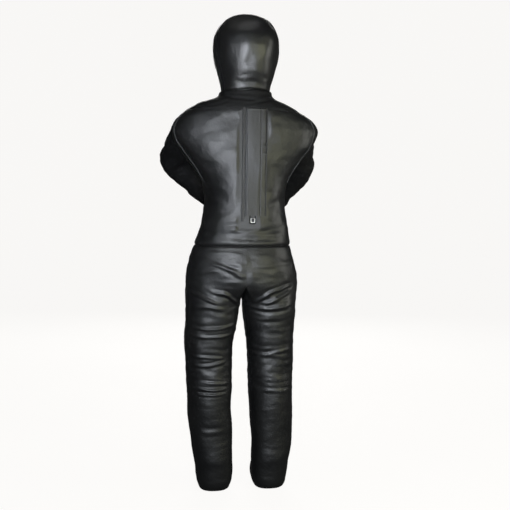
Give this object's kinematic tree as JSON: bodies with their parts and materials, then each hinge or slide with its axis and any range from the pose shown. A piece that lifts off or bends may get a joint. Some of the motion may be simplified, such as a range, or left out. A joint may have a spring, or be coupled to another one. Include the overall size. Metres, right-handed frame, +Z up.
{
  "type": "grappling dummy",
  "caption": "Life-size stuffed leather grappling dummy with a hooded head, arms held in front, jointed limbs and a flap-covered zip down the back.",
  "frame": {"origin": "on the floor midway between the feet, straight below the spine", "axes": "+Z up, the figure faces -Y, +X is the figure's own left-hand side"},
  "size_m": [0.5846, 0.4914, 1.68],
  "materials": {
    "leather": "soft-gloss black leather",
    "suede": "dull black leather with a fine nap",
    "filling": "packed textile offcuts",
    "zip_tape": "woven tape",
    "zip_nylon": "moulded teeth",
    "zip_enamel": "black enamel",
    "zip_metal": "bright nickel",
    "hook_loop": "hook-and-loop pile"
  },
  "bodies": {
    "torso": {"chest_panel": "leather", "back_panel_left": "leather", "back_panel_right": "leather", "torso_filling": "filling", "neck_collar": "suede", "waist_gusset": "leather", "shoulder_gusset_left": "suede", "shoulder_gusset_right": "suede", "zip_tape_left": "zip_tape", "zip_tape_right": "zip_tape", "zip_teeth": "zip_nylon", "zip_end_stops": "zip_nylon", "flap_hem": "leather", "flap_loop_strip": "hook_loop"},
    "head": {"hood_back_panel": "leather", "hood_front_panel": "leather", "head_filling": "filling"},
    "zip_flap": {"zip_flap": "leather", "flap_hook_strip": "hook_loop"},
    "zip_slider": {"zip_slider": "zip_enamel"},
    "zip_pull": {"zip_pull": "zip_metal"},
    "pelvis": {"pelvis_front_panel": "leather", "seat_panel_left": "leather", "seat_panel_right": "leather", "waist_welt": "leather", "pelvis_filling": "filling", "hip_gusset_left": "leather", "hip_gusset_right": "leather"},
    "upper_arm_left": {"upper_arm_cover_left": "suede", "upper_arm_filling_left": "filling", "elbow_gusset_left": "suede"},
    "forearm_left": {"forearm_cover_left": "suede", "hand_cover_left": "suede", "forearm_filling_left": "filling"},
    "thigh_left": {"thigh_front_panel_left": "leather", "thigh_back_panel_left": "leather", "thigh_filling_left": "filling", "knee_gusset_left": "leather"},
    "shin_left": {"shin_front_panel_left": "leather", "shin_back_panel_left": "leather", "shin_filling_left": "filling", "foot_cover_left": "leather", "foot_filling_left": "filling", "sole_left": "leather"},
    "upper_arm_right": {"upper_arm_cover_right": "suede", "upper_arm_filling_right": "filling", "elbow_gusset_right": "suede"},
    "forearm_right": {"forearm_cover_right": "suede", "hand_cover_right": "suede", "forearm_filling_right": "filling"},
    "thigh_right": {"thigh_front_panel_right": "leather", "thigh_back_panel_right": "leather", "thigh_filling_right": "filling", "knee_gusset_right": "leather"},
    "shin_right": {"shin_front_panel_right": "leather", "shin_back_panel_right": "leather", "shin_filling_right": "filling", "foot_cover_right": "leather", "foot_filling_right": "filling", "sole_right": "leather"}
  },
  "joints": [
    {"name": "neck_bend", "type": "hinge", "parent": "torso", "child": "head", "pos_m": [0, 0, 1.4], "axis": [-1, 0, 0], "range_deg": [-35, 25], "deforming": ["neck_collar"]},
    {"name": "waist_bend", "type": "hinge", "parent": "torso", "child": "pelvis", "pos_m": [0, 0, 0.89], "axis": [1, 0, 0], "range_deg": [-55, 20], "deforming": ["waist_gusset"]},
    {"name": "zip_slide", "type": "slide", "parent": "torso", "child": "zip_slider", "axis": [0, 0, 1], "range_m": [0, 0.352]},
    {"name": "pull_swing", "type": "hinge", "parent": "zip_slider", "child": "zip_pull", "pos_m": [-0.014, 0.1014, 0.9755], "axis": [1, 0, 0], "range_deg": [0, 95]},
    {"name": "flap_hinge", "type": "hinge", "parent": "torso", "child": "zip_flap", "pos_m": [0.014, 0.1048, 1.1685], "axis": [0, 0, -1], "range_deg": [0, 150]},
    {"name": "shoulder_left", "type": "hinge", "parent": "torso", "child": "upper_arm_left", "pos_m": [0.195, -0.035, 1.29], "axis": [1, 0, 0], "range_deg": [-76, 24], "deforming": ["shoulder_gusset_left"]},
    {"name": "elbow_left", "type": "hinge", "parent": "upper_arm_left", "child": "forearm_left", "pos_m": [0.238, -0.203, 1.177], "axis": [-0.2576, -0.5838, 0.7699], "range_deg": [-18, 35], "deforming": ["elbow_gusset_left"]},
    {"name": "hip_left", "type": "hinge", "parent": "pelvis", "child": "thigh_left", "pos_m": [0.099, 0, 0.734], "axis": [-1, 0, 0], "range_deg": [-15, 85], "deforming": ["hip_gusset_left"]},
    {"name": "knee_left", "type": "hinge", "parent": "thigh_left", "child": "shin_left", "pos_m": [0.108, 0, 0.455], "axis": [1, 0, 0], "range_deg": [0, 88], "deforming": ["knee_gusset_left"]},
    {"name": "shoulder_right", "type": "hinge", "parent": "torso", "child": "upper_arm_right", "pos_m": [-0.195, -0.035, 1.29], "axis": [1, 0, 0], "range_deg": [-80, 18], "deforming": ["shoulder_gusset_right"]},
    {"name": "elbow_right", "type": "hinge", "parent": "upper_arm_right", "child": "forearm_right", "pos_m": [-0.25, -0.169, 1.14], "axis": [-0.1332, -0.7144, 0.687], "range_deg": [-35, 18], "deforming": ["elbow_gusset_right"]},
    {"name": "hip_right", "type": "hinge", "parent": "pelvis", "child": "thigh_right", "pos_m": [-0.099, 0, 0.734], "axis": [-1, 0, 0], "range_deg": [-15, 85], "deforming": ["hip_gusset_right"]},
    {"name": "knee_right", "type": "hinge", "parent": "thigh_right", "child": "shin_right", "pos_m": [-0.108, 0, 0.455], "axis": [1, 0, 0], "range_deg": [0, 88], "deforming": ["knee_gusset_right"]}
  ]
}
